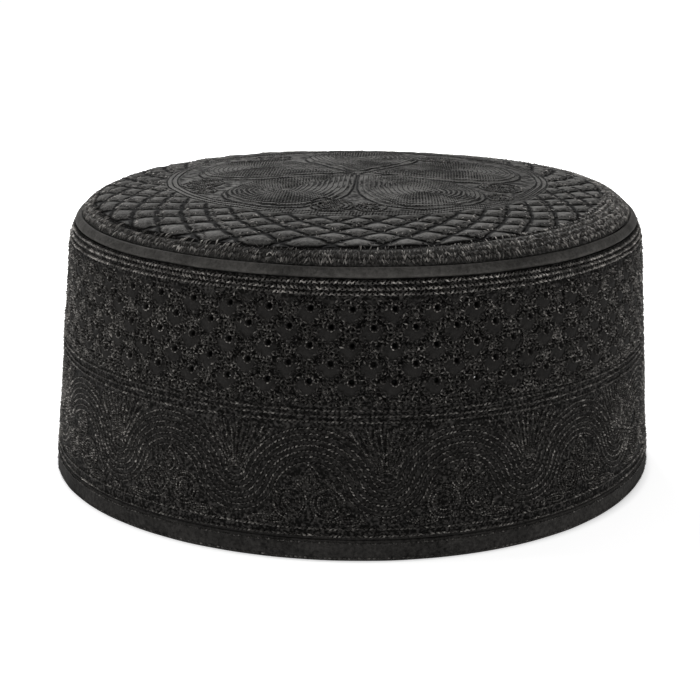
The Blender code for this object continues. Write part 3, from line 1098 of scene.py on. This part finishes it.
def petal_contour(inset, index):
    """The line that runs inside a petal's outline at an inset, seen from a point well inside it."""
    focus = np.array((34.0, 0.0))
    corners = np.vstack([PETAL, PETAL[:1]])
    edges = np.diff(corners, axis=0)
    normals = np.column_stack([edges[:, 1], -edges[:, 0]]) / np.hypot(*edges.T)[:, None]
    distances = np.sum((corners[:-1] - focus) * normals, axis=1)
    normals = np.where(distances[:, None] < 0, -normals, normals)
    distances = np.abs(distances) - inset
    if distances.min() < 0.4:
        return None
    angles = np.linspace(0, math.tau, 121)
    rays = np.column_stack([np.cos(angles), np.sin(angles)])
    facing = rays @ normals.T
    reach = np.where(facing > 1e-3, distances / np.maximum(facing, 1e-3), 1e9).min(axis=1)
    local = focus + rays * reach[:, None]
    turn = math.radians(PETAL_TURN + index * TURN / PETALS)
    x = local[:, 0] * math.cos(turn) - local[:, 1] * math.sin(turn)
    y = local[:, 0] * math.sin(turn) + local[:, 1] * math.cos(turn)
    return np.column_stack([x, y])


PETAL_CURLS = (
    # across, up and reach in the crown's plan
    (-7.2, -43.3, 5.2), (3.6, -45.4, 3.4), (-46.6, -9.5, 5.6), (-45.1, -20.3, 2.9), (43.0, -13.8, 5.8),
    (41.6, -28.0, 3.0), (26.0, 37.5, 5.6), (36.5, 29.0, 3.0), (-28.0, 38.0, 5.6), (-37.5, 28.0, 3.0))
petal_lines = []
petal_curls = []
for index in range(PETALS):
    inset = 0.5
    while (contour := petal_contour(inset, index)) is not None:
        petal_lines.append(running(contour, 0.9))
        inset += PETAL_LINE_SPACING
for x, y, reach in PETAL_CURLS:
    petal_curls.append(rope(curl((x, y), reach, 90, 0.55 * reach, 1 if x > 0 else -1), 0.7, 0.12, 1))
    petal_curls.append(zigzag(arc((x, y), reach + 0.9, 0, 360), 0.5, 0.4, 0.12))
starts, ends = near_turns(*on_crown(petal_lines))
stitched("petal_stitches", starts, ends, crown_lift_at(0.05), width=0.34, height=0.22, painted_glint=0.15)
starts, ends = near_turns(*on_crown(petal_curls))
stitched("curl_stitches", starts, ends, crown_lift_at(0.08), width=0.8, height=0.4, painted_glint=0.5)

# Floor, lights and camera: a plain white floor in a white studio, lit mostly from above and behind. The
# floor gives off some light, but not under the cap, where it would show through the eyelets.
FLOOR_SIZE = 12
FLOOR_GLOW = 0.75
GLOW_START = (0.086, 0.094)
STUDIO_LIGHT = 0.33
LIGHT_AIM = (0, 0, 0.045)

bpy.ops.object.select_all(action="DESELECT")
bpy.ops.mesh.primitive_plane_add(size=FLOOR_SIZE)
floor = bpy.context.object
floor.name = "floor"
pale = Finish("pale_floor")
far = pale.node("ShaderNodeVectorMath", {"operation": "LENGTH"}, {0: pale.place()}, 1)
pale.set(
    Base_Color=(0.8, 0.8, 0.8, 1), Roughness=0.9, Specular_IOR_Level=0.1, Emission_Strength=FLOOR_GLOW,
    Emission_Color=pale.between(pale.rise(far, *GLOW_START), (0, 0, 0), (1, 1, 1)))
pale.wear(floor)

world = bpy.data.worlds.new("studio")
bpy.context.scene.world = world
world.use_nodes = True
background = world.node_tree.nodes["Background"]
background.inputs["Color"].default_value = (1, 1, 1, 1)
background.inputs["Strength"].default_value = STUDIO_LIGHT


def softbox(name, place, size, power):
    """A square area light that faces the cap."""
    light = bpy.data.lights.new(name, "AREA")
    light.shape = "SQUARE"
    light.size = size
    light.energy = power
    lamp = bpy.data.objects.new(name, light)
    bpy.context.scene.collection.objects.link(lamp)
    lamp.location = place
    toward = Vector(LIGHT_AIM) - lamp.location
    lamp.rotation_euler = toward.to_track_quat("-Z", "Y").to_euler()


softbox("overhead", place=(-0.15, 0.66, 0.72), size=0.3, power=7.3)
softbox("left", place=(-1.3, 0.0, 0.6), size=0.45, power=5.6)
softbox("right", place=(1.3, 0.0, 0.6), size=0.45, power=2.6)

CAMERA_AIM_HEIGHT = 0.0324
CAMERA_DISTANCE = 0.520
CAMERA_ELEVATION = 0.2749
CAMERA_ROLL = 0.0072
CAMERA_LENS = 85.09
CAMERA_SHIFT = -0.0059
camera_data = bpy.data.cameras.new("camera")
camera = bpy.data.objects.new("camera", camera_data)
bpy.context.scene.collection.objects.link(camera)
camera_data.sensor_width = 36
camera_data.lens = CAMERA_LENS
camera_data.shift_x = CAMERA_SHIFT
camera.location = (
    0,
    -CAMERA_DISTANCE * math.cos(CAMERA_ELEVATION),
    CAMERA_AIM_HEIGHT + CAMERA_DISTANCE * math.sin(CAMERA_ELEVATION))
camera.rotation_euler = (math.radians(90) - CAMERA_ELEVATION, 0, 0)
camera.rotation_euler.rotate_axis("Z", CAMERA_ROLL)
bpy.context.scene.camera = camera
bpy.context.scene.view_settings.view_transform = "Standard"
